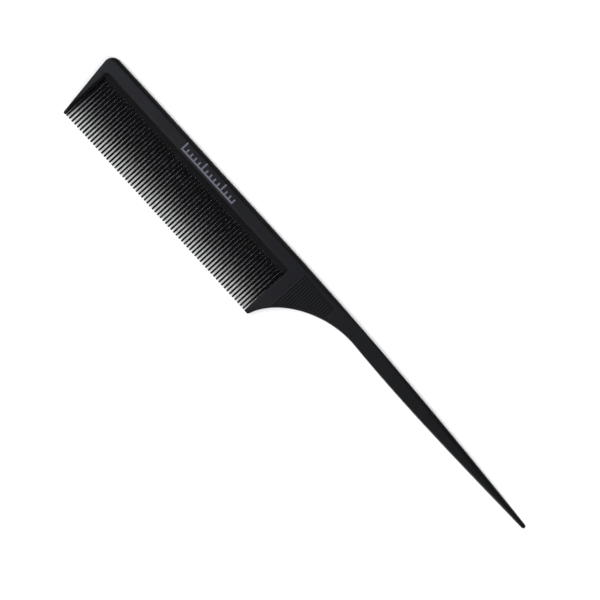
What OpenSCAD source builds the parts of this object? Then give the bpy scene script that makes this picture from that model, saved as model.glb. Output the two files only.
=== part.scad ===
// Rat tail comb: fine teeth between two guard teeth, a ribbed shoulder and a long pointed tail.
// It lies flat with its toe at -X, its tail tip at +X, its back edge at +Y and its teeth at -Y.
// The origin is under the middle of the whole outline. All sizes are in millimetres.

/* [Overall] */
// Length from the toe to the end of the tail
overall_len = 222; // [219:1:226]
// Width from the back edge to the tip of the toe guard
overall_w = 27.2; // [27:0.1:28]
// Thickness of the rail, the guards and the shoulder
body_t = 3.8; // [3.6:0.1:4.4]

/* [Back rail] */
// Width of the rail's flat band, from the back edge to the recess that holds the teeth
rail_w = 5.7; // [5.4:0.1:6.2]
// Width of the bevel along each side of the back edge
bevel_w = 1.3; // [0.6:0.1:1.8]
// Depth of that bevel
bevel_t = 1; // [0.4:0.1:1.4]
// Radius of the toe's corner
toe_r = 3.6; // [2:0.1:4]
// Lean of the toe's edge away from square, in degrees
toe_lean = 8.4; // [8:0.1:9]

/* [Teeth] */
// Number of fine teeth
tooth_count = 67; // [64:1:68]
// Distance from one tooth to the next
tooth_pitch = 1.4; // [1.3:0.05:1.5]
// Length of a tooth from its root to its tip
tooth_len = 19.1; // [18.4:0.1:19.1]
// Width of a tooth at its root
tooth_root_w = 1.15; // [0.9:0.05:1.2]
// Width of a tooth near its tip
tooth_tip_w = 0.66; // [0.5:0.02:0.8]
// Thickness of a tooth at its root
tooth_root_t = 2; // [1.8:0.1:3]
// Thickness of a tooth at its tip
tooth_tip_t = 1.3; // [1:0.1:1.8]
// Width of the sloping land that joins the teeth to the rail
land_w = 2.3; // [2:0.1:2.6]
// Height of the small step between the rail's face and the land
land_step = 0.1; // [0.05:0.05:0.3]

/* [Guard teeth] */
// Width of the slit between the toe guard and the first tooth
toe_slit = 0.1; // [0.1:0.05:0.4]
// Distance from the last tooth's centre line to the heel guard
heel_gap = 0.8; // [0.75:0.05:1.2]
// Width of the toe guard's tip
toe_tip_w = 1.1; // [0.8:0.05:1.15]
// Width of the heel guard's tip
heel_tip_w = 1.95; // [1.7:0.05:2.1]
// Thickness of both guards at their tips
guard_tip_t = 2.2; // [1.8:0.1:2.8]

/* [Shoulder] */
// Length of the shoulder from the heel guard to the neck of the tail
shoulder_len = 32; // [31:0.5:34]
// Width of one rib of the grip
rib_w = 0.6; // [0.5:0.05:0.7]
// Distance from one rib to the next
rib_pitch = 1; // [0.9:0.05:1.05]
// Number of ribs on each face
rib_count = 16; // [14:1:16]
// Depth of the pocket that holds the ribs
grip_depth = 0.5; // [0.4:0.05:0.7]

/* [Tail] */
// Distance that the top of the tail falls below the back edge by its end
tail_fall = 4.8; // [4.6:0.1:5]
// Width of the neck, where the shoulder turns into the tail
neck_w = 6; // [5.6:0.1:6.6]
// Length of the round tip
tip_len = 12; // [10:1:16]
// Diameter at the end of the tip
tip_end_d = 1.64; // [1.4:0.02:1.8]

/* [Printed scale] */
// Length of the printed scale
scale_len = 26; // [20:2:30]
// Distance from one mark to the next
scale_step = 2; // [1:1:2]
// Width of a printed line
scale_line = 0.6; // [0.3:0.05:0.7]
// Length of a short mark
scale_mark = 2; // [1.2:0.1:2.4]
// Length of a long mark, one in five
scale_long_mark = 3.4; // [2.6:0.1:4]

/* [Hidden] */
$fn = 64;

charcoal = [0.15, 0.15, 0.17];
charcoal_shade = [0.11, 0.11, 0.12];
print_grey = [0.62, 0.62, 0.70];

// Places along the comb
toe_x = -overall_len / 2;
tail_end_x = overall_len / 2;
toe_guard_w = 4.38;
toe_strip_w = 1.13;
heel_guard_w = 3.7;
toe_guard_in_x = toe_x + toe_guard_w;
raised_in_x = toe_guard_in_x - toe_strip_w;
first_tooth_x = toe_guard_in_x + toe_slit + tooth_root_w / 2;
toe_tip_in_x = first_tooth_x - tooth_tip_w / 2 - toe_slit;
last_tooth_x = first_tooth_x + (tooth_count - 1) * tooth_pitch;
heel_x = last_tooth_x + heel_gap;
shoulder_x = heel_x + heel_guard_w;
neck_x = shoulder_x + shoulder_len;
tip_x = tail_end_x - tip_len;
tip_end_x = tail_end_x - tip_end_d / 2;

// Places across the comb
back_y = overall_w / 2;
rail_y = back_y - rail_w;
root_y = rail_y - land_w;
tooth_tip_y = root_y - tooth_len;
guard_tip_y = -overall_w / 2;
guard_taper_y = -1;
mid_z = body_t / 2;

// Radii of the inner corners where the rail meets the guards
toe_corner_r = 1.4;
heel_corner_r = 0.7;
clear = 1;

// The lower edge of the shoulder is one curve with four control points.
// It leaves the heel guard at heel_angle and arrives along the tail.
heel_angle = 76;
heel_handle = 11;
neck_handle = 16;
heel_start = [heel_x + heel_tip_w, guard_tip_y + 0.4];

// Each edge of the tail follows four distances below the back edge, in equal steps:
// the top edge from the heel to the tail's end, and the lower edge from the neck.
top_falls = [0, 0.35, 2.16, tail_fall];
low_falls = [neck_w + 0.64, neck_w + 2.16, tail_fall + 2.35, tail_fall + tip_end_d];
tail_steps = 36;
tail_sides = 24;
neck_squareness = 4;

// The grip lies inside the shoulder, inset from its edges.
grip_x = shoulder_x + 0.9;
grip_len = rib_count * rib_pitch + rib_pitch - rib_w;
grip_edge = 0.8;
grip_base_t = 0.2;

// The printed scale lies on the front of the rail.
scale_x = -70;
scale_y = 10.2;
print_t = 0.05;

// A point on a curve with four control values, at t from 0 to 1
function bezier(p, t) =
    pow(1 - t, 3) * p[0] + 3 * pow(1 - t, 2) * t * p[1]
    + 3 * (1 - t) * t * t * p[2] + pow(t, 3) * p[3];

// Distance of the tail's top edge below the back edge at x
function top_fall(x) = x <= heel_x ? 0 : bezier(top_falls, (x - heel_x) / (tail_end_x - heel_x));

// Distance of the tail's lower edge below the back edge at x
function low_fall(x) = bezier(low_falls, (x - neck_x) / (tail_end_x - neck_x));

function tail_w(x) = low_fall(x) - top_fall(x);
function tail_mid_y(x) = back_y - (low_fall(x) + top_fall(x)) / 2;

// Lower edge of the shoulder, from the heel guard's tip to the neck
neck_fall = 3 * (low_falls[1] - low_falls[0]) / (tail_end_x - neck_x);
neck_point = [neck_x, back_y - low_falls[0]];
shoulder_curve = [
    heel_start,
    heel_start + heel_handle * [cos(heel_angle), sin(heel_angle)],
    neck_point - neck_handle * [1, -neck_fall],
    neck_point
];

// A step along that curve, turned a quarter turn to the left to point into the shoulder
function inward(t) =
    let (step = bezier(shoulder_curve, t + 0.001) - bezier(shoulder_curve, t - 0.001))
    [-step[1], step[0]] / norm(step);

// Outline of the heel guard and the shoulder together, seen from the front
function shoulder_outline() = concat(
    [[heel_x, back_y]],
    [for (x = [shoulder_x : 2 : neck_x]) [x, back_y - top_fall(x)]],
    [[neck_x, back_y - top_fall(neck_x)]],
    [for (i = [40 : -1 : 0]) bezier(shoulder_curve, i / 40)],
    [[heel_start[0] - 0.35, tooth_tip_y], [heel_x + 0.3, tooth_tip_y], [heel_x, tooth_tip_y + 0.3]]
);

// Outline of the toe, with its leaning edge and its rounded corner
module toe_outline() {
    corner = [toe_x + toe_r, back_y - toe_r];
    foot = toe_foot_x(guard_tip_y);
    edge_start = corner + toe_r * [-cos(toe_lean), -sin(toe_lean)];
    translate(corner) circle(r = toe_r);
    polygon([
        corner, edge_start, [foot, guard_tip_y], [shoulder_x, guard_tip_y],
        [shoulder_x, back_y], [corner[0], back_y]
    ]);
}

// Where the leaning edge of the toe is at a height y
function toe_foot_x(y) =
    toe_x + toe_r - toe_r / cos(toe_lean) + (back_y - toe_r - y) * tan(toe_lean);

// Cross-section of the rail and the guards: bevelled at the back, thinning towards the guard tips
function guard_inset(y) =
    let (part = (guard_taper_y - y) / (guard_taper_y - guard_tip_y))
    (body_t - guard_tip_t) / 2 * part * part;

module body_section() {
    taper_y = [for (i = [0 : 12]) guard_taper_y + (guard_tip_y - guard_taper_y) * i / 12];
    polygon(concat(
        [
            [back_y - bevel_w, body_t], [back_y, body_t - bevel_t],
            [back_y, bevel_t], [back_y - bevel_w, 0]
        ],
        [for (y = taper_y) [y, guard_inset(y)]],
        [for (i = [12 : -1 : 0]) [taper_y[i], body_t - guard_inset(taper_y[i])]]
    ));
}

// A cross-section drawn as (y, z), carried along X from one place to another
module along_x(from_x, to_x) {
    translate([from_x, 0, 0])
        rotate([90, 0, 90])
            linear_extrude(height = to_x - from_x) children();
}

// A plate cut by an outline, as thick as the body
module plate() {
    linear_extrude(height = body_t) children();
}

// The block of space between two places along the comb and two places across it
module between(from_x, to_x, from_y, to_y) {
    translate([from_x, from_y, -clear]) cube([to_x - from_x, to_y - from_y, body_t + 2 * clear]);
}

// An inner corner, filled so that it is round; its square corner is at the origin
module corner_fill(r) {
    difference() {
        square(r);
        translate([r, r]) circle(r = r);
    }
}

module corner_fills() {
    translate([raised_in_x, rail_y]) mirror([0, 1]) corner_fill(toe_corner_r);
    translate([heel_x, rail_y]) rotate(180) corner_fill(heel_corner_r);
}

module back_rail() {
    color(charcoal)
        intersection() {
            plate() toe_outline();
            along_x(toe_x - clear, shoulder_x) body_section();
            between(toe_x - clear, shoulder_x, rail_y, back_y + clear);
        }
}

module toe_guard() {
    color(charcoal) {
        // raised face
        intersection() {
            plate() toe_outline();
            along_x(toe_x - clear, raised_in_x) body_section();
            between(toe_x - clear, raised_in_x, guard_tip_y, rail_y);
        }
        // inner land and the tip below it
        intersection() {
            plate() toe_inner_outline();
            along_x(raised_in_x - 2 * clear, first_tooth_x) tooth_section(guard_tip_y - root_y);
        }
        intersection() {
            plate() corner_fills();
            between(raised_in_x, first_tooth_x, root_y, rail_y);
        }
    }
}

// The strip of the toe guard between its raised face and the slit, which follows the first tooth
module toe_inner_outline() {
    foot = toe_tip_in_x - toe_tip_w;
    polygon([
        [raised_in_x, root_y], [toe_guard_in_x, root_y],
        [toe_tip_in_x, guard_tip_y + 0.25], [toe_tip_in_x - 0.25, guard_tip_y],
        [foot + 0.2, guard_tip_y], [foot, guard_tip_y + 0.4], [raised_in_x, -10.6]
    ]);
}

module heel_guard() {
    color(charcoal) {
        intersection() {
            plate() polygon(shoulder_outline());
            along_x(heel_x, shoulder_x) body_section();
            between(heel_x, shoulder_x, guard_tip_y, rail_y);
        }
        intersection() {
            plate() corner_fills();
            between(last_tooth_x, heel_x, root_y, rail_y);
        }
    }
}

// Cross-section of the teeth, from their roots down to a reach of -Y, thinning evenly
module tooth_section(reach = -tooth_len) {
    half_root = tooth_root_t / 2;
    half_tip = tooth_tip_t / 2;
    polygon([
        [root_y, mid_z - half_root], [root_y, mid_z + half_root],
        [root_y + reach, mid_z + half_tip], [root_y + reach, mid_z - half_tip]
    ]);
}

module tooth_land() {
    half_root = tooth_root_t / 2;
    color(charcoal_shade)
        difference() {
            along_x(raised_in_x, heel_x)
                polygon([
                    [rail_y, land_step], [rail_y, body_t - land_step],
                    [root_y, mid_z + half_root], [root_y, mid_z - half_root]
                ]);
            translate([0, 0, -clear])
                linear_extrude(height = body_t + 2 * clear) corner_fills();
        }
}

// One tooth seen from the front, with its root at the origin and a blunt rounded tip
module tooth_outline() {
    root = tooth_root_w / 2;
    tip = tooth_tip_w / 2;
    polygon([
        [-root, 0], [-tip, 0.5 - tooth_len], [-tip * 0.6, 0.12 - tooth_len], [-tip * 0.25, -tooth_len],
        [tip * 0.25, -tooth_len], [tip * 0.6, 0.12 - tooth_len], [tip, 0.5 - tooth_len], [root, 0]
    ]);
}

module fine_teeth() {
    color(charcoal_shade)
        for (i = [0 : tooth_count - 1]) {
            x = first_tooth_x + i * tooth_pitch;
            intersection() {
                translate([x, root_y, 0]) plate() tooth_outline();
                along_x(x - tooth_root_w, x + tooth_root_w) tooth_section();
            }
        }
}

// Outline of the pocket for the grip ribs: its lower edge keeps clear of the shoulder's edge
module grip_outline() {
    end_x = grip_x + grip_len;
    lower = [for (i = [0 : 40]) bezier(shoulder_curve, i / 40) + grip_edge * inward(i / 40)];
    intersection() {
        polygon(concat([[grip_x - clear, back_y], [end_x + 8, back_y]], [for (i = [40 : -1 : 0]) lower[i]]));
        polygon([
            [grip_x, guard_tip_y], [end_x, guard_tip_y],
            [end_x, back_y - top_fall(end_x) - 3.2], [grip_x, back_y - 2.6]
        ]);
    }
}

module shoulder() {
    color(charcoal)
        difference() {
            intersection() {
                plate() polygon(shoulder_outline());
                along_x(shoulder_x, neck_x) body_section();
                between(shoulder_x, neck_x, guard_tip_y, back_y + clear);
            }
            translate([0, 0, body_t - grip_depth]) linear_extrude(height = clear) grip_outline();
            translate([0, 0, grip_depth - clear]) linear_extrude(height = clear) grip_outline();
        }
}

// The ribbed grip of one face: upright ribs on a thin base that fills the pocket
module grip_ribs() {
    linear_extrude(height = grip_base_t) grip_outline();
    intersection() {
        linear_extrude(height = grip_depth) grip_outline();
        for (i = [0 : rib_count - 1])
            translate([grip_x + rib_pitch - rib_w + i * rib_pitch, guard_tip_y, 0])
                cube([rib_w, overall_w, grip_depth]);
    }
}

module front_grip_ribs() {
    color(charcoal) translate([0, 0, body_t - grip_depth]) grip_ribs();
}

module rear_grip_ribs() {
    color(charcoal) translate([0, 0, grip_depth]) mirror([0, 0, 1]) grip_ribs();
}

// One ring of the tail: a rounded rectangle at the neck that becomes a circle at the tip
function tail_ring(x) =
    let (
        part = (x - neck_x) / (tip_x - neck_x),
        power = 2 / (neck_squareness + (2 - neck_squareness) * part),
        half_w = tail_w(x) / 2,
        half_t = (body_t + (tail_w(tip_x) - body_t) * part) / 2
    )
    [for (k = [0 : tail_sides - 1])
        let (a = 360 * (k + 0.5) / tail_sides)
        [
            x,
            tail_mid_y(x) + half_w * sign(cos(a)) * pow(abs(cos(a)), power),
            mid_z + half_t * sign(sin(a)) * pow(abs(sin(a)), power)
        ]
    ];

module tail() {
    points = [for (s = [0 : tail_steps]) each tail_ring(neck_x + (tip_x - neck_x) * s / tail_steps)];
    sides = [
        for (s = [0 : tail_steps - 1], k = [0 : tail_sides - 1])
            let (next = (k + 1) % tail_sides, row = s * tail_sides)
            [row + k, row + tail_sides + k, row + tail_sides + next, row + next]
    ];
    start = [for (k = [0 : tail_sides - 1]) k];
    end = [for (k = [tail_sides - 1 : -1 : 0]) tail_steps * tail_sides + k];
    color(charcoal) polyhedron(points, concat(sides, [start, end]), convexity = 4);
}

// A tapering round tip with a ball end, on the line of the tail
module tail_tip() {
    run = tip_end_x - tip_x;
    start_y = tail_mid_y(tip_x);
    turn = atan((start_y - tail_mid_y(tip_end_x)) / run);
    color(charcoal)
        translate([tip_x, start_y, mid_z])
            rotate([0, 0, -turn])
                rotate([0, 90, 0]) {
                    cylinder(h = run, d1 = tail_w(tip_x), d2 = tip_end_d);
                    translate([0, 0, run]) sphere(d = tip_end_d);
                }
}

// A plain length scale: a base line with a mark at each step and a longer one at each fifth
module printed_scale() {
    marks = floor(scale_len / scale_step);
    color(print_grey)
        translate([scale_x, scale_y - scale_long_mark / 2, body_t])
            linear_extrude(height = print_t) {
                square([marks * scale_step + scale_line, scale_line]);
                for (i = [0 : marks])
                    translate([i * scale_step, 0])
                        square([scale_line, i % 5 == 0 ? scale_long_mark : scale_mark]);
            }
}

back_rail();
toe_guard();
heel_guard();
tooth_land();
fine_teeth();
shoulder();
front_grip_ribs();
rear_grip_ribs();
tail();
tail_tip();
printed_scale();
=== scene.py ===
# %% [markdown]
# # A rat tail comb, one face at a time
# This lesson dresses a moulded salon comb. Its sizes come from a finished engineering model, which is
# loaded first and never changed. Every visible piece is then worked out with numpy and laid over the
# solid that it stands for.

# %% Load the engineering model
import math

import bmesh
import bpy
import numpy as np
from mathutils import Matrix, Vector


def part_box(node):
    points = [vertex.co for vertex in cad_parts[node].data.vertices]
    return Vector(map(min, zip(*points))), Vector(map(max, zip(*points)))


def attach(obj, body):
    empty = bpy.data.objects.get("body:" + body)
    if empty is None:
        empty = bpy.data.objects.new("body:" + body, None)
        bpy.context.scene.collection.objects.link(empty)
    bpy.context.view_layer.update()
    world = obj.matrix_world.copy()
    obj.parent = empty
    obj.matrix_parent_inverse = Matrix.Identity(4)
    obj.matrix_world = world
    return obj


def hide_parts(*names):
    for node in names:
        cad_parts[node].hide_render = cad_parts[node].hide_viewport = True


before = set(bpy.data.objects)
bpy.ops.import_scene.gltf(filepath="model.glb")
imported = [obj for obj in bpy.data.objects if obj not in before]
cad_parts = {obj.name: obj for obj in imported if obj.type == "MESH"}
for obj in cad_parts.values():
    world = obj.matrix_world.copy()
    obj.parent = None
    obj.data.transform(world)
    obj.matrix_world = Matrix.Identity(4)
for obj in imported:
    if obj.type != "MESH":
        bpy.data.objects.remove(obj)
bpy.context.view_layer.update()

mm = 0.001

# %% [markdown]
# ## Reading the places
# The comb lies flat. X runs along its back from the toe to the point of the tail, Y runs from the teeth
# to the back, and Z is the thickness. Each solid's box gives the places where the pieces meet, so
# nothing here is measured twice.

# %% Places along and across the comb
rail_low, rail_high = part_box("back_rail")
land_low, land_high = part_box("tooth_land")
teeth_low, teeth_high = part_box("fine_teeth")
grip_low, grip_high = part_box("front_grip_ribs")
print_low, print_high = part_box("printed_scale")

toe_x, shoulder_x = rail_low.x, rail_high.x
rail_y, back_y = rail_low.y, rail_high.y
raised_x, heel_x = land_low.x, land_high.x
root_y, tip_y = land_low.y, teeth_low.y
guard_tip_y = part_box("toe_guard")[0].y
grip_x, grip_end_x = grip_low.x, grip_high.x
neck_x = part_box("shoulder")[1].x
point_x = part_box("tail")[1].x
end_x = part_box("tail_tip")[1].x

body_t = rail_high.z - rail_low.z
half_t = body_t / 2
mid_z = rail_low.z + half_t
print(f"rail {body_t / mm:.1f} mm thick; heel at {heel_x / mm:.1f}, neck at {neck_x / mm:.1f}")

# %% [markdown]
# ## Shapes as formulas
# A comb like this comes out of a steel mould, and the mould is cut from a drawing: an outline seen from
# the front, and a rule for how deep the cutter goes at each spot. Sculpting or box modelling could give
# the shape too, but the thin edges would wander. Formulas keep every edge true. Two small ones are used
# everywhere: a soft step from one place to another, and a mix of two values.


# %% Soft step and mix
def blend(start, stop, x):
    """0 before start and 1 after stop, rising on the curve 3t^2 - 2t^3 between them."""
    t = np.clip((x - start) / (stop - start), 0, 1)
    return t * t * (3 - 2 * t)


def mix(a, b, share):
    """a where share is 0 and b where it is 1, in a straight line between."""
    return a + (b - a) * share


print("soft step:", blend(0, 1, np.linspace(0, 1, 5)).tolist())

# %% [markdown]
# ## The plate
# Every piece of the moulding is a plate: one grid of points for its front, the same grid for its back,
# and walls that join their four borders. A face could be extruded and bevelled instead, but a bevel has
# one width all the way round, and the edges of this comb change as they go. Making both grids as whole
# arrays leaves the height free at every point, and it closes the shell every time.


# %% Plate
def plate(plan, top, bottom):
    """Points and faces of a closed plate, from a plan of (rows, columns, 2) and the heights on it."""
    rows, cols = plan.shape[:2]
    front = np.concatenate([plan, top[..., None]], -1).reshape(-1, 3)
    back = np.concatenate([plan, bottom[..., None]], -1).reshape(-1, 3)
    index = np.arange(rows * cols).reshape(rows, cols)
    a, b, c, d = index[:-1, :-1], index[1:, :-1], index[1:, 1:], index[:-1, 1:]
    face = np.stack([a, b, c, d], -1).reshape(-1, 4)
    border = np.concatenate([index[:-1, 0], index[-1, :-1], index[:0:-1, -1], index[0, :0:-1]])
    after = np.roll(border, -1)
    offset = rows * cols
    wall = np.stack([border, border + offset, after + offset, after], -1)
    return np.concatenate([front, back]), np.concatenate([face, face[:, ::-1] + offset, wall])


def mirrored_plate(plan, height):
    """A plate whose two faces lie the same height in front of the middle and behind it."""
    return plate(plan, mid_z + height, mid_z - height)


def columns(x, y):
    """A plan with one column of points at each x, through that column's own heights y."""
    return np.stack([np.broadcast_to(x[:, None], y.shape), y], -1)


small_faces = mirrored_plate(columns(np.arange(3), np.zeros((3, 4))), np.ones((3, 4)))[1]
print("a grid of 3 by 4 points makes a shell of", len(small_faces), "faces")

# %% [markdown]
# ## From shells to an object
# Where a border of the grid shrinks to a point, its doubled points are welded. Blender then turns all
# the faces outwards. Shading is smooth but for creases over 35 degrees, so that the flats stay flat and
# the rounds stay round; bevelling each crease would do the same with many more faces. Every object rides
# on the comb's one body and stands for one solid of the engineering model.

# %% Finished objects
WELD = 0.0005 * mm
CREASE = math.radians(35)


def piece(name, shells, node, material):
    """One object from closed shells, welded and facing outwards, that rides on the comb for a node."""
    mesh = bpy.data.meshes.new(name)
    counts = np.cumsum([0] + [len(p) for p, f in shells])
    points = np.concatenate([p for p, f in shells])
    faces = np.concatenate([f + n for (p, f), n in zip(shells, counts)])
    mesh.from_pydata(points.tolist(), [], faces.tolist())
    work = bmesh.new()
    work.from_mesh(mesh)
    bmesh.ops.remove_doubles(work, verts=work.verts, dist=WELD)
    bmesh.ops.dissolve_degenerate(work, edges=work.edges, dist=WELD)
    bmesh.ops.recalc_face_normals(work, faces=work.faces)
    open_edges = sum(1 for e in work.edges if len(e.link_faces) != 2)
    work.to_mesh(mesh)
    work.free()
    mesh.shade_smooth()
    mesh.set_sharp_from_angle(angle=CREASE)
    mesh.materials.append(material)
    made = bpy.data.objects.new(name, mesh)
    bpy.context.scene.collection.objects.link(made)
    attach(made, "root")
    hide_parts(node)
    print(f"{name}: {len(mesh.polygons)} faces, {open_edges} open edges")
    return made


print(f"creases over {math.degrees(CREASE):.0f} degrees stay sharp")

# %% [markdown]
# ## The plastic
# Salon combs like this are moulded in carbon-filled plastic: a blue-black that is neither shiny nor
# chalky. A single dark colour would look like a cut-out of paper, and a scanned picture of plastic would
# need unwrapping. So the finish is worked out from noise on Object coordinates, which are metres here
# and keep the grain at its true size: slow clouds vary colour and gloss, as on a comb that has been
# handled, and two scales of spark-eroded grain go into the bump. First the nodes that do it.


# %% Material nodes
def new_material(name):
    """A node material, with its node tree and its shader."""
    material = bpy.data.materials.new(name)
    material.use_nodes = True
    tree = material.node_tree
    return material, tree, tree.nodes["Principled BSDF"]


def noise_at(tree, waves, detail):
    """Noise between 0 and 1 on Object coordinates, with a number of waves to the metre."""
    place = tree.nodes.new("ShaderNodeTexCoord")
    noise = tree.nodes.new("ShaderNodeTexNoise")
    noise.inputs["Scale"].default_value = waves
    noise.inputs["Detail"].default_value = detail
    tree.links.new(place.outputs["Object"], noise.inputs["Vector"])
    return noise.outputs["Fac"]


def between_colours(tree, source, low, high, low_colour, high_colour):
    """The first colour where source is up to low, the second from high on, and mixes between."""
    ramp = tree.nodes.new("ShaderNodeValToRGB")
    first, last = ramp.color_ramp.elements
    first.position, last.position = low, high
    first.color, last.color = (*low_colour, 1), (*high_colour, 1)
    tree.links.new(source, ramp.inputs["Fac"])
    return ramp.outputs["Color"]


def between_values(tree, source, low, high, low_value, high_value):
    """The first value where source is up to low, the second from high on, and a line between."""
    node = tree.nodes.new("ShaderNodeMapRange")
    limits = {"From Min": low, "From Max": high, "To Min": low_value, "To Max": high_value}
    for key, value in limits.items():
        node.inputs[key].default_value = value
    tree.links.new(source, node.inputs["Value"])
    return node.outputs["Result"]


def bump(tree, source, strength, depth, under=None):
    """The normal of a relief with this depth in metres, laid over the normal of another relief."""
    node = tree.nodes.new("ShaderNodeBump")
    node.inputs["Strength"].default_value = strength
    node.inputs["Distance"].default_value = depth
    tree.links.new(source, node.inputs["Height"])
    if under is not None:
        tree.links.new(under, node.inputs["Normal"])
    return node.outputs["Normal"]


print("nodes for noise, colour, value and bump are ready")

# %% Charcoal plastic
CLOUD_WAVES, GRAIN_WAVES, FINE_WAVES = 90, 5200, 14000
CLOUD_RANGE = 0.3, 0.7
DARK_CHARCOAL, PALE_CHARCOAL = (0.0052, 0.0054, 0.0068), (0.0084, 0.0088, 0.0112)
GLOSSY, DULL = 0.32, 0.39
GRAIN_STRENGTH, GRAIN_DEPTH = 0.35, 0.012 * mm
FINE_STRENGTH, FINE_DEPTH = 0.25, 0.006 * mm
MIRROR_LEVEL = 0.4


def charcoal_plastic():
    """Blue-black plastic: clouds in its colour and gloss, and a fine grain over a coarser one."""
    material, tree, shader = new_material("charcoal_plastic")
    clouds = noise_at(tree, CLOUD_WAVES, 4)
    colour = between_colours(tree, clouds, *CLOUD_RANGE, DARK_CHARCOAL, PALE_CHARCOAL)
    tree.links.new(colour, shader.inputs["Base Color"])
    gloss = between_values(tree, clouds, *CLOUD_RANGE, GLOSSY, DULL)
    tree.links.new(gloss, shader.inputs["Roughness"])
    grain = bump(tree, noise_at(tree, GRAIN_WAVES, 2), GRAIN_STRENGTH, GRAIN_DEPTH)
    fine = bump(tree, noise_at(tree, FINE_WAVES, 1), FINE_STRENGTH, FINE_DEPTH, under=grain)
    tree.links.new(fine, shader.inputs["Normal"])
    shader.inputs["Specular IOR Level"].default_value = MIRROR_LEVEL
    return material


plastic = charcoal_plastic()
print(f"plastic grain about {1 / GRAIN_WAVES / mm:.2f} and {1 / FINE_WAVES / mm:.2f} mm wide")

# %% [markdown]
# ## The outline
# The back edge runs straight, turns a round corner at the toe and comes down the leaning toe edge. From
# the heel on, it falls slowly away along the tail. The lower edge starts at the tip of the heel guard,
# sweeps up in one concave curve to the neck and follows the tail to its point. A traced polyline would
# need hundreds of points and would still show flats. Curves with four controls each stay smooth at any
# distance, and a control is a thing that a person can move.


# %% Curve with four controls
def bezier(p, t):
    """Cubic curve: four controls weighted by (1-t)^3, 3(1-t)^2 t, 3(1-t) t^2 and t^3."""
    t = np.asarray(t, float)
    weights = [(1 - t) ** 3, 3 * (1 - t) ** 2 * t, 3 * (1 - t) * t * t, t**3]
    return sum(np.multiply.outer(w, c) for w, c in zip(weights, p))


print("controls 0, 0, 1, 1 give", bezier([0, 0, 1, 1], np.linspace(0, 1, 5)).tolist())

# %% Edges of the tail and the toe
TOE_R = 3.6 * mm
TOE_LEAN = math.radians(8.4)
TAIL_FALL = 4.8 * mm
NECK_W = 6.0 * mm
POINT_D = 1.64 * mm

top_falls = np.array([0, 0.35 * mm, 2.16 * mm, TAIL_FALL])
low_at_neck = [NECK_W + 0.64 * mm, NECK_W + 2.16 * mm]
low_at_point = [TAIL_FALL + 2.35 * mm, TAIL_FALL + POINT_D]
low_falls = np.array(low_at_neck + low_at_point)


def top_y(x):
    """Height of the back edge: straight to the heel, then a curve through four falls along the tail."""
    return back_y - bezier(top_falls, np.clip((x - heel_x) / (end_x - heel_x), 0, 1))


def tail_low_y(x):
    """Height of the tail's lower edge: a curve through four falls, from the neck to its end."""
    return back_y - bezier(low_falls, (x - neck_x) / (end_x - neck_x))


def toe_edge_x(y):
    """Where the toe edge is at a height y: it touches the corner's circle and leans by TOE_LEAN."""
    below = back_y - TOE_R - y
    return toe_x + TOE_R - TOE_R / math.cos(TOE_LEAN) + below * math.tan(TOE_LEAN)


corner = np.array([toe_x + TOE_R, back_y - TOE_R])
corner_turn = np.linspace(0, math.pi / 2 + TOE_LEAN, 25)
corner_arc = corner + TOE_R * np.stack([-np.sin(corner_turn), np.cos(corner_turn)], -1)
print(f"the neck is {(top_y(neck_x) - tail_low_y(neck_x)) / mm:.1f} mm wide")

# %% Sweep from the heel guard to the neck
HEEL_TIP_W = 1.95 * mm
HEEL_TIP_RISE = 0.4 * mm
HEEL_ANGLE = math.radians(76)
HEEL_HANDLE, NECK_HANDLE = 11 * mm, 16 * mm
SWEEP_POINTS = 121

neck_slope = 3 * (low_falls[1] - low_falls[0]) / (end_x - neck_x)
heel_start = np.array([heel_x + HEEL_TIP_W, guard_tip_y + HEEL_TIP_RISE])
neck_point = np.array([neck_x, back_y - low_falls[0]])
sweep = [
    heel_start,
    heel_start + HEEL_HANDLE * np.array([math.cos(HEEL_ANGLE), math.sin(HEEL_ANGLE)]),
    neck_point - NECK_HANDLE * np.array([1, -neck_slope]),
    neck_point,
]
sweep_points = bezier(sweep, np.linspace(0, 1, SWEEP_POINTS))
sweep_length = np.linalg.norm(np.diff(sweep_points, axis=0), axis=-1).sum()
print(f"the sweep is {sweep_length / mm:.1f} mm long")

# %% [markdown]
# ## How an edge is broken
# No moulded edge is sharp, because the steel isn't and a hand wouldn't like it. Blender's Bevel modifier
# could round the edges once the pieces are made. Here the height itself drops near an edge, as a
# function of the distance to it, so that one edge can be wide on the back and fade to nothing at the
# toe. Points crowd where the drop is steepest.


# %% Drops and distances
def rounding(d, width, depth):
    """Drop at a distance d inside an edge: a quarter of an ellipse, depth at the edge, 0 past width."""
    away = np.clip(1 - d / width, 0, 1)
    return depth * (1 - np.sqrt(1 - away * away))


def bevel(d, width, depth, softness=0.12 * mm):
    """Drop of a straight bevel, its inner corner eased as the hyperbola (x + sqrt(x^2 + s^2)) / 2."""
    inside = width - d
    return depth / width * (inside + np.sqrt(inside * inside + softness * softness)) / 2


def distance_to(points, path):
    """Distance from each point to a path of straight steps: the nearest foot on any step."""
    start, step = path[:-1], path[1:] - path[:-1]
    along = ((points[..., None, :] - start) * step).sum(-1) / (step * step).sum(-1)
    foot = start + np.clip(along, 0, 1)[..., None] * step
    return np.linalg.norm(points[..., None, :] - foot, axis=-1).min(-1)


def quarter(n):
    """n + 1 steps from 0 to 1, as 1 - cos, so that they crowd where a round edge is steepest."""
    return 1 - np.cos(np.linspace(0, math.pi / 2, n + 1))


print("crowded steps:", np.round(quarter(5), 2).tolist())

# %% [markdown]
# ## The back rail
# The rail is the comb's spine: a flat band with a bevel along the back, so that it lies well in the
# hand. A box with bevelled edges would do for the straight part but not for the toe. So each row of the
# grid runs from the recess to the outside: the rows stand side by side along the rail and then fan round
# the toe's corner about one point. The bevel is deep on the back and fades to a shallow one at the toe.

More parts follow.
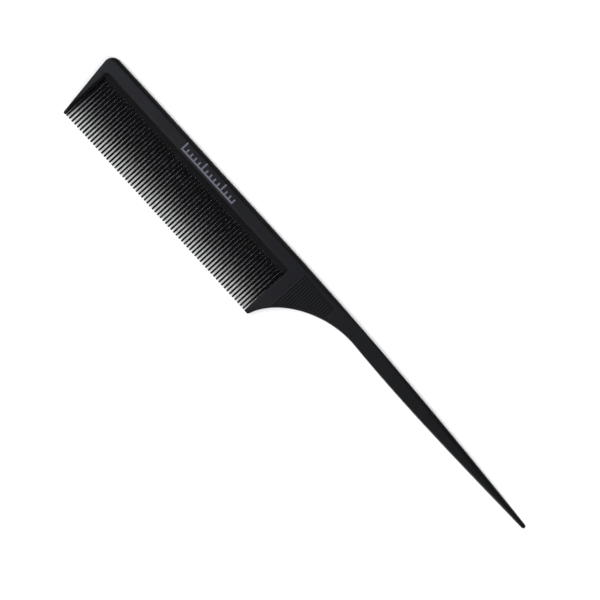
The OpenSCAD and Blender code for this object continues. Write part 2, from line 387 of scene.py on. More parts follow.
# %% Rim of the rail and the guard
BEVEL_W, BEVEL_DEPTH = 1.3 * mm, 1.0 * mm
TOE_BEVEL_W, TOE_BEVEL_DEPTH = 1.0 * mm, 0.28 * mm
BEVEL_STARTS_X, BEVEL_FULL_X = toe_x + 0.6 * mm, toe_x + 4.6 * mm
BEVEL_FULL_Y = back_y - 2.5 * mm
SOFT_EDGE = 0.35 * mm


def rim_drop(plan, d):
    """Drop at a distance d from the outside: the bevel, shallower at the toe, and a soft edge."""
    along_back = blend(BEVEL_STARTS_X, BEVEL_FULL_X, plan[..., 0])
    share = along_back * blend(rail_y, BEVEL_FULL_Y, plan[..., 1])
    wide = mix(TOE_BEVEL_W, BEVEL_W, share)
    deep = mix(TOE_BEVEL_DEPTH, BEVEL_DEPTH, share)
    return bevel(d, wide, deep) + rounding(d, SOFT_EDGE, SOFT_EDGE)


print(f"bevel {BEVEL_W / mm:.1f} mm wide on the back, {TOE_BEVEL_DEPTH / mm:.2f} mm deep at the toe")

# %% Back rail
INNER_CORNER, HEEL_CORNER = 1.4 * mm, 0.7 * mm
FOOT_W, FOOT_DEPTH = 0.12 * mm, 0.06 * mm
FADE = 0.1 * mm
RIM_LINES = np.concatenate([SOFT_EDGE * quarter(5), np.linspace(0.5, 1.7, 9) * mm])
FOOT_LINES = np.array([FOOT_W, 0.05 * mm, 0])


def back_rail():
    """Height: half the thickness, less the drop at the rim and a small round where the land begins.

    Each row is a straight line from the recess to the outline. Past the inner corner, all of them start
    at one point.
    """
    fan_x = raised_x + INNER_CORNER
    toe_foot = np.array([toe_edge_x(rail_y), rail_y])
    straight_x = np.linspace(shoulder_x, corner[0], 26)
    straight = np.stack([straight_x, np.full_like(straight_x, back_y)], -1)
    toe_side = mix(corner_arc[-1], toe_foot, np.linspace(0, 1, 7)[1:, None])
    outer = np.concatenate([straight, corner_arc[1:], toe_side])
    inner = np.stack([np.maximum(outer[:, 0], fan_x), np.full(len(outer), rail_y)], -1)
    span = np.linalg.norm(outer - inner, axis=-1)[:, None]
    middle = mix(RIM_LINES[-1], span - FOOT_W, np.linspace(0, 1, 6)[1:-1])
    rim = np.tile(RIM_LINES, (len(span), 1))
    share = 1 - np.concatenate([rim, middle, span - FOOT_LINES], -1) / span
    plan = mix(inner[:, None], outer[:, None], share[..., None])
    past_end = [shoulder_x + 5 * mm, back_y]
    edge = np.concatenate([[past_end], outer, [[toe_edge_x(0), 0]]])
    height = half_t - rim_drop(plan, distance_to(plan, edge))
    above_land = blend(fan_x - FADE, fan_x + FADE, plan[..., 0])
    turn_x = heel_x - HEEL_CORNER
    above_land *= 1 - blend(turn_x - FADE, turn_x + FADE, plan[..., 0])
    height -= above_land * rounding(plan[..., 1] - rail_y, FOOT_W, FOOT_DEPTH)
    return mirrored_plate(plan, height)


piece("back_rail_plastic", [back_rail()], "back_rail", plastic)

# %% [markdown]
# ## The toe guard
# The outermost tooth is wider than the rest, so that the comb enters the hair without catching. Its
# raised face narrows to nothing towards the tip, and inside it a strip slopes down to the first tooth,
# which stands so close that only a slit is left between them. A loft between a few sections would also
# give this shape. Here its rows go down the tooth from the rail to a rounded tip, because everything
# about it depends on the height along the tooth: both sides, the thickness and the slope of the strip.

# %% Thickness and slope along the guards and teeth
LAND_STEP = 0.1 * mm
GUARD_TIP_T, TOOTH_TIP_T = 2.2 * mm, 1.3 * mm
TAPER_Y = -1.0 * mm
TOOTH_ROOT_W, TOOTH_TIP_W = 1.15 * mm, 0.66 * mm
TOE_SLIT = 0.1 * mm
SLOPE_TURNS = 3 * mm
tooth_root_half = (teeth_high.z - teeth_low.z) / 2
land_slope = (half_t - LAND_STEP - tooth_root_half) / (rail_y - root_y)


def guard_half(y):
    """Half thickness of the guards: full to the taper's start, then closing in as the square."""
    part = np.clip((TAPER_Y - y) / (TAPER_Y - guard_tip_y), 0, 1)
    return half_t - (body_t - GUARD_TIP_T) / 2 * part * part


def tooth_share(y):
    """0 at the root of a tooth and 1 at its tip."""
    return np.clip((root_y - y) / (root_y - tip_y), 0, 1)


def tooth_half(y):
    """Half thickness of a tooth at y, thinning evenly from its root to its tip."""
    return mix(tooth_root_half, TOOTH_TIP_T / 2, tooth_share(y))


def strip_x(y):
    """Inner side of the guard, which follows the first tooth and leaves a slit between them."""
    first_tooth_side = teeth_low.x + (TOOTH_ROOT_W - mix(TOOTH_ROOT_W, TOOTH_TIP_W, tooth_share(y))) / 2
    return first_tooth_side - TOE_SLIT


def strip_slope(y):
    """Slope of the guard's inner strip: the land's at the root, steep enough to meet the teeth below."""
    down_to_teeth = (guard_half(y) - LAND_STEP - tooth_half(y)) / (strip_x(y) - raised_x)
    return mix(land_slope, down_to_teeth, blend(root_y, root_y - SLOPE_TURNS, y))


def round_end(past, radius):
    """Share of the width that is left in a round end: sqrt(1 - t^2), with t the way past its start."""
    t = np.clip(past / radius, 0, 1)
    return np.sqrt(1 - t * t)


print(f"the land slopes {math.degrees(math.atan(land_slope)):.1f} degrees")

# %% Toe guard
GUARD_TIP_R = 0.45 * mm
STRIP_ROUND = 0.25 * mm
STRIP_STEP_W = 0.08 * mm
FACE_COLUMNS = np.concatenate([quarter(5) * 0.12, np.linspace(0.16, 0.52, 10), [0.7, 1]])
STRIP_COLUMNS = np.concatenate([quarter(4) * 0.35, [0.55, 0.75, 0.9, 1]])


def toe_guard():
    """Height: the guard's half thickness, less the rim's drop, the step and slope of the strip, and a
    round along its inner side.

    Rows go down from the rail, round the recess's corner, straight on, and round the tip, where both
    sides close in as a half circle does.
    """
    around = np.linspace(0, math.pi / 2, 9)
    fillet = INNER_CORNER * (1 - np.sin(around))
    corner_y = rail_y - INNER_CORNER * (1 - np.cos(around))
    straight_y = np.linspace(root_y, guard_tip_y + GUARD_TIP_R, 26)
    round_y = guard_tip_y + GUARD_TIP_R * (1 - np.sin(np.linspace(0, math.pi / 2, 7)))[1:]
    y = np.concatenate([corner_y, [root_y], straight_y, round_y])
    out_x = toe_edge_x(y)
    raised = np.concatenate([raised_x + fillet, np.full(len(y) - len(fillet), raised_x)])
    has_strip = np.arange(len(y)) > len(fillet)
    inner = np.where(has_strip, strip_x(y), raised)
    close = round_end(guard_tip_y + GUARD_TIP_R - y, GUARD_TIP_R)
    centre = (out_x + inner) / 2
    out_x, inner = centre + (out_x - centre) * close, centre + (inner - centre) * close
    raised = np.clip(raised, out_x, inner)
    x = np.concatenate([
        out_x[:, None] + (raised - out_x)[:, None] * FACE_COLUMNS,
        inner[:, None] - (inner - raised)[:, None] * STRIP_COLUMNS[::-1][1:],
    ], -1)
    plan = np.stack([x, np.broadcast_to(y[:, None], x.shape)], -1)
    edge_y = np.array([rail_y + TOE_R, guard_tip_y])
    edge = np.stack([toe_edge_x(edge_y), edge_y], -1)
    height = guard_half(y)[:, None] - rim_drop(plan, distance_to(plan, edge))
    past = np.clip(x - raised[:, None], 0, None)
    height -= strip_slope(y)[:, None] * past + LAND_STEP * blend(0, STRIP_STEP_W, past)
    inner_round = rounding(np.abs(inner[:, None] - x), STRIP_ROUND, STRIP_ROUND)
    below_root = np.arange(len(y)) >= len(fillet)
    height -= np.where(below_root[:, None], inner_round, 0)
    height *= np.sqrt(close)[:, None]
    return mirrored_plate(plan, height)


piece("toe_guard_plastic", [toe_guard()], "toe_guard", plastic)

# %% [markdown]
# ## The land and the gap roots
# Between the rail and the teeth lies a land that slopes down to the thickness of a tooth. Its lower
# border is scalloped: each gap ends in a half circle, because a sharp notch would crack when the comb is
# bent. A Boolean cut for each gap would leave long thin triangles. Instead, one formula gives the border
# of all the gaps at once, and every column of the grid ends on it.

# %% Scallops at the roots of the gaps
TOOTH_COUNT = 67
tooth_pitch = (teeth_high.x - teeth_low.x - TOOTH_ROOT_W) / (TOOTH_COUNT - 1)
tooth_x = teeth_low.x + TOOTH_ROOT_W / 2 + tooth_pitch * np.arange(TOOTH_COUNT)
gap_from = np.concatenate([[strip_x(root_y)], tooth_x + TOOTH_ROOT_W / 2])
gap_to = np.concatenate([tooth_x - TOOTH_ROOT_W / 2, [heel_x]])
gap_x, gap_r = (gap_from + gap_to) / 2, (gap_to - gap_from) / 2


def scallop(x):
    """Rise of the land's lower border: in each gap, a half circle as wide as the gap."""
    rise = gap_r**2 - (x[:, None] - gap_x) ** 2
    return np.sqrt(np.clip(rise, 0, None)).max(-1)


def arc_below(x, centre_x, radius):
    """Drop of a quarter circle below its top, at a distance x - centre_x from the middle."""
    return radius - np.sqrt(np.clip(radius**2 - (x - centre_x) ** 2, 0, None))


print(f"{len(gap_x)} gaps, {2 * gap_r[1] / mm:.2f} mm wide at the root, {tooth_pitch / mm:.2f} mm apart")

# %% Tooth land
VALLEY_W = 0.8 * mm
ROOT_ROUND = 0.15 * mm
LAND_STEP_W = 0.1 * mm
LAND_ROWS = np.concatenate([[0, 0.03, 0.08], np.linspace(0.14, 0.9, 16), [0.96, 1]])


def land_columns():
    """Columns of the land: nine round each gap, one up each tooth, and more where it turns a corner."""
    in_gaps = gap_x[:, None] - gap_r[:, None] * np.cos(np.linspace(0, math.pi, 9))
    toe_side = raised_x + INNER_CORNER * (1 - np.sin(np.linspace(0, math.pi / 2, 9)))
    valley_side = np.linspace(raised_x + INNER_CORNER, raised_x + rail_y - root_y, 25)
    heel_side = heel_x - HEEL_CORNER * quarter(8)
    x = np.concatenate([in_gaps.ravel(), tooth_x, toe_side, valley_side, heel_side])
    return np.unique(np.round(x, 8))


def tooth_land():
    """Height: half the thickness, less a step at the raised edge and a slope away from it.

    The slopes from the toe guard and from the rail meet in a valley. It is eased over VALLEY_W, where
    the two distances are nearly the same, by the square of what is left of that width.
    """
    x = land_columns()
    toe_turn_x, heel_turn_x = raised_x + INNER_CORNER, heel_x - HEEL_CORNER
    upper = rail_y - arc_below(np.minimum(x, toe_turn_x), toe_turn_x, INNER_CORNER)
    upper -= arc_below(np.maximum(x, heel_turn_x), heel_turn_x, HEEL_CORNER)
    lower = root_y + scallop(x)
    plan = columns(x, mix(lower[:, None], upper[:, None], LAND_ROWS))
    toe_turn = np.linspace(0, math.pi / 2, 9)
    toe_arc = np.stack([raised_x + INNER_CORNER * (1 - np.cos(toe_turn)),
                        rail_y - INNER_CORNER * (1 - np.sin(toe_turn))], -1)
    raised_edge = np.concatenate([[[raised_x, root_y]], toe_arc, [[heel_x, rail_y]]])
    away = distance_to(plan, raised_edge)
    from_toe, from_rail = plan[..., 0] - raised_x, rail_y - plan[..., 1]
    eased = np.clip(VALLEY_W - np.abs(from_toe - from_rail), 0, None) ** 2 / (4 * VALLEY_W)
    eased *= blend(INNER_CORNER - VALLEY_W, INNER_CORNER + VALLEY_W, away)
    height = half_t - LAND_STEP * blend(0, LAND_STEP_W, away) - land_slope * (away - eased)
    in_gap = (scallop(x) > 0)[:, None]
    height -= in_gap * rounding(plan[..., 1] - lower[:, None], ROOT_ROUND, ROOT_ROUND)
    return mirrored_plate(plan, height)


piece("tooth_land_plastic", [tooth_land()], "tooth_land", plastic)

# %% [markdown]
# ## The fine teeth
# A tooth is drawn out of two halves of a mould, so it is widest along its middle and falls away from a
# blunt ridge on both faces. That also lets it slide between hairs. An Array modifier could repeat one
# tooth. Here the copies are an array of shifts added to one tooth's points, so that the pitch comes
# straight from the comb's own sizes and the finished mesh has nothing left to apply.

# %% One tooth and its copies
TOOTH_TIP_R = 0.3 * mm
RIDGE_BLUNT = 0.15
ROOT_FALL, TOOTH_FALL, FALL_GROWS = 0.25, 0.6, 1.5 * mm
TOOTH_ROWS = np.concatenate([[0, 0.02, 0.06], np.linspace(0.12, 1, 9)])


def one_tooth():
    """Height: thickness less the fall from the ridge, sqrt(x^2 + s^2) - s across the tooth.

    The fall is a quarter of the thickness at the root and grows to three fifths. The width and the
    thickness taper, and both close in as a half circle at the tip.
    """
    length = root_y - tip_y
    straight = TOOTH_ROWS * (length - TOOTH_TIP_R)
    tip = length - TOOTH_TIP_R + TOOTH_TIP_R * np.sin(np.linspace(0, math.pi / 2, 6))[1:]
    down = np.concatenate([straight, tip])
    close = round_end(down - length + TOOTH_TIP_R, TOOTH_TIP_R)
    half_w = mix(TOOTH_ROOT_W, TOOTH_TIP_W, down / length) / 2 * close
    thick = tooth_half(root_y - down) * close
    across = np.sin(np.linspace(-math.pi / 2, math.pi / 2, 11))
    x = half_w[:, None] * across
    plan = np.stack([x, np.broadcast_to(root_y - down[:, None], x.shape)], -1)
    ridge = (np.hypot(across, RIDGE_BLUNT) - RIDGE_BLUNT) / (math.hypot(1, RIDGE_BLUNT) - RIDGE_BLUNT)
    fall = thick * mix(ROOT_FALL, TOOTH_FALL, blend(0, FALL_GROWS, down))
    return mirrored_plate(plan, thick[:, None] - fall[:, None] * ridge)


def copies(points, faces, shifts):
    """The same shell at each of the shifts, as one set of points and faces."""
    shifts = np.asarray(shifts, float).reshape(-1, 1, 3)
    starts = np.arange(len(shifts))[:, None, None] * len(points)
    return (points + shifts).reshape(-1, 3), (faces + starts).reshape(-1, 4)


tooth_points, tooth_faces = one_tooth()
tooth_shifts = np.stack([tooth_x, np.zeros(TOOTH_COUNT), np.zeros(TOOTH_COUNT)], -1)
all_teeth = copies(tooth_points, tooth_faces, tooth_shifts)
piece("fine_teeth_plastic", [all_teeth], "fine_teeth", plastic)

# %% [markdown]
# ## The heel guard
# The guard at the heel is where the comb's lower edge begins. Its tip is blunt, its inner side faces the
# last gap, and its outer side sweeps up into the shoulder. It could be one mesh with the shoulder, but a
# piece for each solid keeps the parts exchangeable. The join hardly shows, because both pieces read one
# outline and one height. First comes that outline, then the height.

# %% Lower outline of the heel and shoulder
TIP_CORNER = 0.3 * mm
TIP_FLAT, TIP_HANDLE = 0.6 * mm, 0.4 * mm
TURN_END = 6
tip_end = np.array([heel_start[0] - TIP_FLAT, tip_y])
tip_controls = [tip_end, tip_end + [TIP_HANDLE, 0], heel_start, sweep_points[TURN_END]]
tip_turn = bezier(tip_controls, np.linspace(0, 1, 9))
inner_turn = np.stack([heel_x + TIP_CORNER * quarter(6),
                       tip_y + TIP_CORNER * (1 - np.sin(np.linspace(0, math.pi / 2, 7)))], -1)
past_neck_x = np.linspace(neck_x, neck_x + 6 * mm, 6)[1:]
past_neck = np.stack([past_neck_x, tail_low_y(past_neck_x)], -1)
low_edge = np.concatenate([inner_turn, tip_turn, sweep_points[TURN_END + 1:], past_neck])
low_outline = np.concatenate([[[heel_x, rail_y - HEEL_CORNER]], low_edge])
top_x = np.linspace(heel_x - 8 * mm, neck_x + 8 * mm, 60)
top_outline = np.stack([top_x, top_y(top_x)], -1)


def low_y(x):
    """Height of the lower edge at x, read off the outline."""
    return np.interp(x, low_edge[:, 0], low_edge[:, 1])


print(f"the lower outline has {len(low_outline)} points and ends {past_neck_x[-1] / mm:.1f} mm along")

# %% Height of the guard and shoulder
LOW_ROUND_W, LOW_ROUND_DEPTH = (0.4 * mm, 0.6 * mm), (0.4 * mm, 0.8 * mm)
TOP_ROUND_W, TOP_ROUND_DEPTH = (0.35 * mm, 0.6 * mm), (0.35 * mm, 0.8 * mm)
NECK_BEVEL_W = 0.5 * mm


def shoulder_height(plan):
    """Half thickness of the guard and shoulder: its taper, less the two round edges and the bevel.

    Each pair of values is for the heel and for the neck, and the bevel fades out between them.
    """
    share = blend(shoulder_x, neck_x, plan[..., 0])
    from_low = distance_to(plan, low_outline)
    from_top = distance_to(plan, top_outline)
    height = guard_half(plan[..., 1])
    height = height - rounding(from_low, mix(*LOW_ROUND_W, share), mix(*LOW_ROUND_DEPTH, share))
    height = height - rounding(from_top, mix(*TOP_ROUND_W, share), mix(*TOP_ROUND_DEPTH, share))
    return height - bevel(from_top, mix(BEVEL_W, NECK_BEVEL_W, share), BEVEL_DEPTH * (1 - share))


middle_of_shoulder = np.array([(shoulder_x + neck_x) / 2, back_y - 4 * mm])
middle_t = 2 * float(shoulder_height(middle_of_shoulder))
print(f"the shoulder is {middle_t / mm:.1f} mm thick in the middle")

# %% Heel guard
EDGE_STEPS = 0.45 * mm * np.concatenate([quarter(6), [1.4]])
EDGE_MOST = 0.6
STEEPEST = 5


def heel_guard():
    """Height: that of the shoulder. Columns stand along X, and each starts on the lower outline.

    Where the outline is steep, the first rows stand further up it by sqrt(1 + slope^2), which keeps
    their distance to it. They never take more than EDGE_MOST of a column.
    """
    fill_x = heel_x - HEEL_CORNER * quarter(6)[::-1]
    straight_x = np.linspace(0.4 * mm, shoulder_x - heel_x, 22)
    body_x = heel_x + np.concatenate([TIP_CORNER * quarter(6), straight_x])
    x = np.concatenate([fill_x, body_x])
    low = np.concatenate([rail_y - arc_below(fill_x, heel_x - HEEL_CORNER, HEEL_CORNER), low_y(body_x)])
    slope = np.clip(np.gradient(low_y(body_x), body_x), 0, STEEPEST)
    reach = np.concatenate([np.zeros(len(fill_x)), np.sqrt(1 + slope**2)])
    first = low[:, None] + np.minimum(reach[:, None] * EDGE_STEPS, (rail_y - low)[:, None] * EDGE_MOST)
    rest = mix(first[:, -1:], rail_y, np.linspace(0, 1, 14)[1:])
    plan = columns(x, np.concatenate([first, rest], -1))
    return mirrored_plate(plan, shoulder_height(plan))


piece("heel_guard_plastic", [heel_guard()], "heel_guard", plastic)

# %% [markdown]
# ## The shoulder and its grip
# The shoulder is where finger and thumb hold the comb, so each face has a shallow pocket with fine
# upright ribs. A pocket can be cut with a Boolean, or inset and pushed down by hand. Here its floor and
# the face around it are one surface: two rows of points lie close together along its border, and the
# height steps down between them. The ribs are a plate of their own that fills the pocket, with their
# tops level with the face.

# %% Borders of the pocket
GRIP_DEPTH = 0.5 * mm
GRIP_EDGE = 0.8 * mm
GRIP_TOP, GRIP_TOP_END = 2.6 * mm, 3.2 * mm
WALL = 0.03 * mm
SKIP_TIP = 12
grip_slant = (top_y(grip_end_x) - GRIP_TOP_END - (back_y - GRIP_TOP)) / (grip_end_x - grip_x)


def grip_top_y(x):
    """Upper border of the grip: a slanting line below the back edge."""
    return back_y - GRIP_TOP + grip_slant * (x - grip_x)


def low_row(x, inside):
    """Height of the line that keeps a distance inside from the lower edge, measured square to it.

    The first few points, round the tip of the guard, are left out, because there the line would turn
    back on itself.
    """
    step = np.gradient(low_edge, axis=0)
    normal = np.stack([-step[:, 1], step[:, 0]], -1) / np.linalg.norm(step, axis=-1)[:, None]
    line = low_edge[SKIP_TIP:] + inside * normal[SKIP_TIP:]
    return np.interp(x, line[:, 0], line[:, 1])


grip_tall = grip_top_y(grip_x) - float(low_row(grip_x, GRIP_EDGE))
print(f"pocket {(grip_end_x - grip_x) / mm:.1f} mm long and {grip_tall / mm:.1f} mm tall at the heel")

# %% Shoulder
TOP_LINES = np.concatenate([[1.7, 1.5, 1.35, 1.2, 0.9, 0.6], 0.35 * quarter(4)[::-1]]) * mm
LOW_LINES = 0.6 * mm * quarter(6)


def shoulder():
    """Height: that of the shoulder, less GRIP_DEPTH between the inner lines of the pocket's border.

    Columns stand along X. Lines of points follow the lower edge, the pocket's border and the back.
    """
    border_x = [grip_x - WALL, grip_x + WALL, grip_end_x - WALL, grip_end_x + WALL]
    x = np.unique(np.concatenate([np.linspace(shoulder_x, neck_x, 60), border_x]))
    low_lines = [low_row(x, d) for d in LOW_LINES]
    pocket_low = [low_row(x, GRIP_EDGE + d) for d in (-WALL, WALL)]
    pocket_top = [grip_top_y(x) + d for d in (-WALL, WALL)]
    middle = [mix(pocket_low[1], pocket_top[0], t) for t in np.linspace(0, 1, 10)[1:-1]]
    high_lines = [top_y(x) - d for d in TOP_LINES]
    plan = columns(x, np.stack(low_lines + pocket_low + middle + pocket_top + high_lines, -1))
    line = np.arange(plan.shape[1])
    first = len(low_lines) + 1
    inside = (line >= first) & (line <= first + len(middle) + 1)
    across = (x > grip_x) & (x < grip_end_x)
    height = shoulder_height(plan) - GRIP_DEPTH * (across[:, None] & inside)
    return mirrored_plate(plan, height)


piece("shoulder_plastic", [shoulder()], "shoulder", plastic)

# %% [markdown]
# Each rib is a low bar with a flat top and slanting sides, and the sides of two neighbours meet in a
# narrow groove. Sixteen bars on a floor would leave thirty-two seams to close. As their profile repeats
# along the comb, the height is one periodic formula instead, and the ends of the ribs round down to the
# bottom of the grooves.

# %% Grip ribs
RIB_COUNT = 16
RIB_PITCH, RIB_W, RIB_RISE, RIB_END = 1.0 * mm, 0.6 * mm, 0.18 * mm, 0.07 * mm
SLANT_W, SLANT_SOFT = 0.12 * mm, 0.03 * mm
SLANT_STEPS = np.array([-2, -1, -0.4, 0, 0.4, 1, 2])
HOLD = 0.03 * mm


def rows_between(low, top, steps, middle):
    """Heights from low to top for each column: set steps at both ends, even ones between."""
    first, last = low[:, None] + steps, top[:, None] - steps[::-1]
    share = np.linspace(0, 1, middle + 2)[1:-1]
    return np.concatenate([first, mix(first[:, -1:], last[:, :1], share), last], -1)


def grip_ribs(face):
    """Ribs for the front (face 1) or the back (face -1).

    Height: the face's own over a rib, less a bevel by the distance to the middle of the groove.
    """
    rib_x = grip_x + RIB_PITCH - RIB_W / 2 + RIB_PITCH * np.arange(RIB_COUNT)
    half_pitch = RIB_PITCH / 2
    slant = half_pitch - SLANT_W + SLANT_STEPS * SLANT_SOFT
    steps = np.concatenate([-slant, [0, half_pitch], slant])
    x = np.unique(np.round(np.concatenate([(rib_x[:, None] + steps).ravel(), [grip_x, grip_end_x]]), 8))
    x = np.clip(x, grip_x, grip_end_x)
    low, top = low_row(x, GRIP_EDGE), grip_top_y(x)
    ends = np.concatenate([RIB_END * quarter(4), [RIB_END + HOLD]])
    y = rows_between(low, top, ends, 6)
    from_rib = np.minimum(np.abs(x[:, None] - rib_x).min(-1), half_pitch)
    crown = RIB_RISE - bevel(half_pitch - from_rib, SLANT_W, RIB_RISE, SLANT_SOFT)
    end = np.minimum(y - low[:, None], top[:, None] - y)
    rise = crown[:, None] * (1 - rounding(end, RIB_END, 1.0))
    height = mid_z + face * (half_t - RIB_RISE + rise)
    base = np.full_like(height, mid_z + face * (half_t - GRIP_DEPTH))
    return plate(columns(x, y), np.maximum(height, base), np.minimum(height, base))


piece("front_grip_ribs_plastic", [grip_ribs(1)], "front_grip_ribs", plastic)
piece("rear_grip_ribs_plastic", [grip_ribs(-1)], "rear_grip_ribs", plastic)

# %% [markdown]
# ## The tail
# The tail parts the hair. It starts as flat as the shoulder and turns rounder all the way to its point.
# A cylinder with a taper would miss the flat start, and a loft would need a section every few
# millimetres. The same quarter-ellipse edge does the whole length: its width and depth grow until the
# two edges meet in the middle and the section is a circle.

# %% Tail and tail tip
ROWS = np.concatenate([quarter(10) / 2, 1 - quarter(10)[:-1][::-1] / 2])
FLAT_EDGE_W, FLAT_EDGE_DEPTH = 0.2, 0.42
LEAST_W = 1e-9
ROUNDING_POWER = 1.5


def tail_plate(x, low, top, half, roundness):
    """A plate with round edges: roundness 0 is the flat neck and 1 is a full ellipse.

    The edge's width and depth are shares of the half width and the half thickness.
    """
    width = np.maximum((top - low) / 2, LEAST_W)
    y = low[:, None] + (top - low)[:, None] * ROWS
    edge_w = (width * mix(FLAT_EDGE_W, 1, roundness))[:, None]
    depth = (half * mix(FLAT_EDGE_DEPTH, 1, roundness))[:, None]
    d = width[:, None] - np.abs(y - ((top + low) / 2)[:, None])
    return mirrored_plate(columns(x, y), half[:, None] - rounding(d, edge_w, depth))


def tail():
    """Half thickness: a straight line from the neck's to the point's. Roundness grows as t^1.5."""
    x = np.linspace(neck_x, point_x, 64)
    part = (x - neck_x) / (point_x - neck_x)
    point_half = (top_y(point_x) - tail_low_y(point_x)) / 2
    return tail_plate(x, tail_low_y(x), top_y(x), mix(half_t, point_half, part), part**ROUNDING_POWER)


def tail_tip():
    """A round bar that follows the tail's two edges, then half a ball, whose width falls as a cosine."""
    ball = POINT_D / 2
    centre_x = end_x - ball
    along = np.linspace(point_x, centre_x, 16)
    ball_turn = np.linspace(0, math.pi / 2, 9)[1:]
    x = np.concatenate([along, centre_x + ball * np.sin(ball_turn)])
    held = np.minimum(x, centre_x)
    middle = (top_y(held) + tail_low_y(held)) / 2
    half = (top_y(held) - tail_low_y(held)) / 2
    half[len(along):] *= np.cos(ball_turn)
    return tail_plate(x, middle - half, middle + half, half, np.ones_like(x))


piece("tail_plastic", [tail()], "tail", plastic)
piece("tail_tip_plastic", [tail_tip()], "tail_tip", plastic)

# %% [markdown]
# ## The printed scale
# A pad print is a film of ink a few hundredths of a millimetre thick. Here it is a plain length scale:
# a base line with short marks and a longer one at each fifth. It could be painted on as a mask in the
# plastic's material, but then it would have no edge. Each bar is a thin plate with rounded corners
# instead, so that the ink stands proud and shows up on the exported mesh. The ink is a dull pale grey, a
# little uneven, as it dries on the grain below.

# %% Ink
SPECKLE_WAVES = 3800
SPECKLE_RANGE = 0.25, 0.6
THIN_INK, FULL_INK = (0.38, 0.38, 0.47), (0.54, 0.54, 0.66)
INK_ROUGHNESS = 0.55


def pale_ink():
    """Pale grey ink, speckled between a thinner and a fuller shade."""
    material, tree, shader = new_material("pale_grey_ink")
    speckle = noise_at(tree, SPECKLE_WAVES, 3)
    colour = between_colours(tree, speckle, *SPECKLE_RANGE, THIN_INK, FULL_INK)
    tree.links.new(colour, shader.inputs["Base Color"])
    shader.inputs["Roughness"].default_value = INK_ROUGHNESS
    return material


ink = pale_ink()
print(f"ink speckles about {1 / SPECKLE_WAVES / mm:.2f} mm wide")

# %% Printed scale
SCALE_STEP, SCALE_LINE = 2 * mm, 0.6 * mm
SHORT_MARK = 2 * mm
LONG_EVERY = 5
INK_JOIN = 0.005 * mm
INK_CORNER = 0.12 * mm
INK_SUNK = 0.02 * mm


def ink_bar(left, right, low, high):
    """A thin bar of ink with quarter-circle corners, its foot just inside the face of the rail."""
    x = np.concatenate([left + INK_CORNER * quarter(4), right - INK_CORNER * quarter(4)[::-1]])
    corner_inset = INK_CORNER * (1 - np.sin(np.linspace(0, math.pi / 2, 5)))
    inset = np.concatenate([corner_inset, corner_inset[::-1]])
    y = mix((low + inset)[:, None], (high - inset)[:, None], np.linspace(0, 1, 4))
    return plate(columns(x, y), np.full(y.shape, print_high.z), np.full(y.shape, rail_high.z - INK_SUNK))


line_top_y = print_low.y + SCALE_LINE
mark_x = np.arange(print_low.x, print_high.x - SCALE_LINE / 2, SCALE_STEP)
bars = [ink_bar(print_low.x, print_high.x, print_low.y, line_top_y)]
for number, x in enumerate(mark_x):
    mark_top_y = print_high.y if number % LONG_EVERY == 0 else print_low.y + SHORT_MARK
    bars.append(ink_bar(x, x + SCALE_LINE, line_top_y - INK_JOIN, mark_top_y))
piece("printed_scale_ink", bars, "printed_scale", ink)

# %% [markdown]
# ## The floor
# The comb is shown as in a catalogue, flat on white paper. The floor is one large square at the height
# where the comb rests. A curved backdrop would only matter if the horizon were in view.

# %% Floor
REACH = 2.0
PAPER = (0.9, 0.9, 0.9, 1)
PAPER_ROUGHNESS = 0.9
floor_corners = [(-REACH, -REACH, 0), (REACH, -REACH, 0), (REACH, REACH, 0), (-REACH, REACH, 0)]
floor_mesh = bpy.data.meshes.new("floor")
floor_mesh.from_pydata(floor_corners, [], [(0, 1, 2, 3)])
floor = bpy.data.objects.new("floor", floor_mesh)
bpy.context.scene.collection.objects.link(floor)
paper, _, paper_shader = new_material("white_paper")
paper_shader.inputs["Base Color"].default_value = PAPER
paper_shader.inputs["Roughness"].default_value = PAPER_ROUGHNESS
floor_mesh.materials.append(paper)
print(f"floor {2 * REACH:.0f} m square")

# %% [markdown]
# ## The light
# The paper should be pure white and the comb nearly black, and one set of lamps can't do both: what
# whitens the paper would turn the comb grey. Blender's light linking lets three large softboxes light
# the paper alone. Five smaller ones and a dim, even sky light everything. The comb's flat faces are dull
# mirrors that look straight up, so the three softboxes that stand high set how pale they are. The
# strongest is on the toe side and faintly blue, which makes the rail a little paler towards the toe. The
# bevels look past them and stay dark. The other two are lower: one catches the soft edge at the toe, and
# a long strip glints on the teeth.

# %% Sky and softboxes
SKY_STRENGTH = 0.12
LAMP_DISTANCE = 1.2
FAINT_BLUE = (0.91, 0.94, 1.20)
world = bpy.data.worlds.new("studio")
world.use_nodes = True
world.node_tree.nodes["Background"].inputs["Color"].default_value = (1, 1, 1, 1)
world.node_tree.nodes["Background"].inputs["Strength"].default_value = SKY_STRENGTH
bpy.context.scene.world = world
bpy.context.scene.view_settings.view_transform = "Standard"


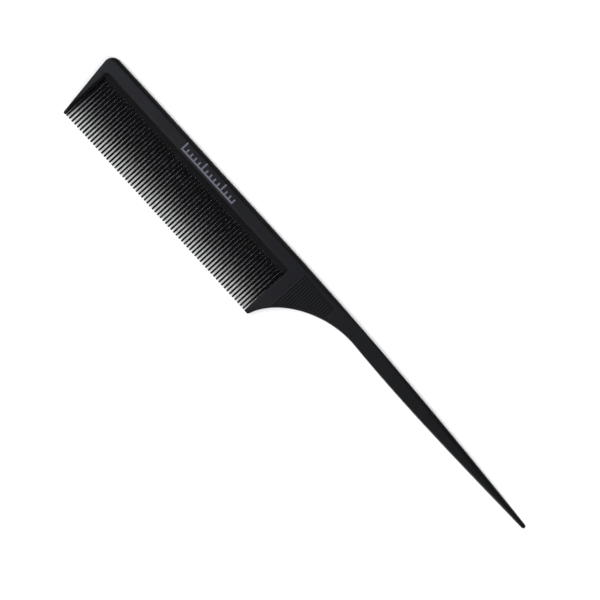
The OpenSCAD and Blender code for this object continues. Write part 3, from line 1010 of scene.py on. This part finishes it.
def softbox(name, bearing, height, width, tall, brightness, colour=(1, 1, 1)):
    """An area light aimed at the comb: bearing and height in degrees, brightness as radiance."""
    bearing, height = math.radians(bearing), math.radians(height)
    flat = math.cos(height)
    towards = Vector((flat * math.cos(bearing), flat * math.sin(bearing), math.sin(height)))
    light = bpy.data.lights.new(name, "AREA")
    light.shape, light.size, light.size_y = "RECTANGLE", width, tall
    light.energy = brightness * math.pi * width * tall
    light.color = colour
    lamp = bpy.data.objects.new(name, light)
    lamp.location = towards * LAMP_DISTANCE
    lamp.rotation_euler = (-towards).to_track_quat("-Z", "Y").to_euler()
    bpy.context.scene.collection.objects.link(lamp)
    return lamp


floor_only = bpy.data.collections.new("floor_only")
floor_only.objects.link(floor)
floor_lamps = [
    softbox("tail_side_floor_light", 0, 50, 1.0, 1.0, 3.6),
    softbox("toe_side_floor_light", 180, 50, 1.0, 1.0, 3.6),
    softbox("tooth_side_floor_light", -90, 17, 2.8, 0.4, 6.8),
]
for lamp in floor_lamps:
    lamp.light_linking.receiver_collection = floor_only
comb_lamps = [
    softbox("tooth_side_strip", -90, 16, 1.6, 0.4, 1.5),
    softbox("toe_end_softbox", 176, 55, 0.6, 0.26, 2.2),
    softbox("toe_side_softbox", 197, 76, 0.36, 0.36, 2.05, FAINT_BLUE),
    softbox("tooth_side_softbox", 268, 75, 0.30, 0.30, 0.7),
    softbox("tail_side_softbox", 0, 76, 0.36, 0.36, 0.25),
]
print(len(floor_lamps), "lamps for the paper,", len(comb_lamps), "for everything")

# %% [markdown]
# ## The camera
# The camera looks straight down and is turned, so that the comb lies across the picture from corner to
# corner. An orthographic camera would keep the teeth quite parallel, but no real lens does. A long lens
# from far away comes close, and it shows just a hint of the sides. Its length sets how far back the
# camera stands for the width that it should see.

# %% Camera
LENS, SENSOR = 400, 36
VIEW_W = 212 * mm
VIEW_X, VIEW_Y = -2.11 * mm, 3.6 * mm
TURN = math.radians(47.62)
NEAREST, FARTHEST = 0.01, 10
camera_data = bpy.data.cameras.new("camera")
camera_data.lens, camera_data.sensor_width = LENS, SENSOR
camera_data.clip_start, camera_data.clip_end = NEAREST, FARTHEST
camera = bpy.data.objects.new("camera", camera_data)
camera.location = (VIEW_X, VIEW_Y, body_t + VIEW_W * LENS / SENSOR)
camera.rotation_euler = (0, 0, TURN)
bpy.context.scene.collection.objects.link(camera)
bpy.context.scene.camera = camera
print(f"camera {camera.location.z:.2f} m above the paper")
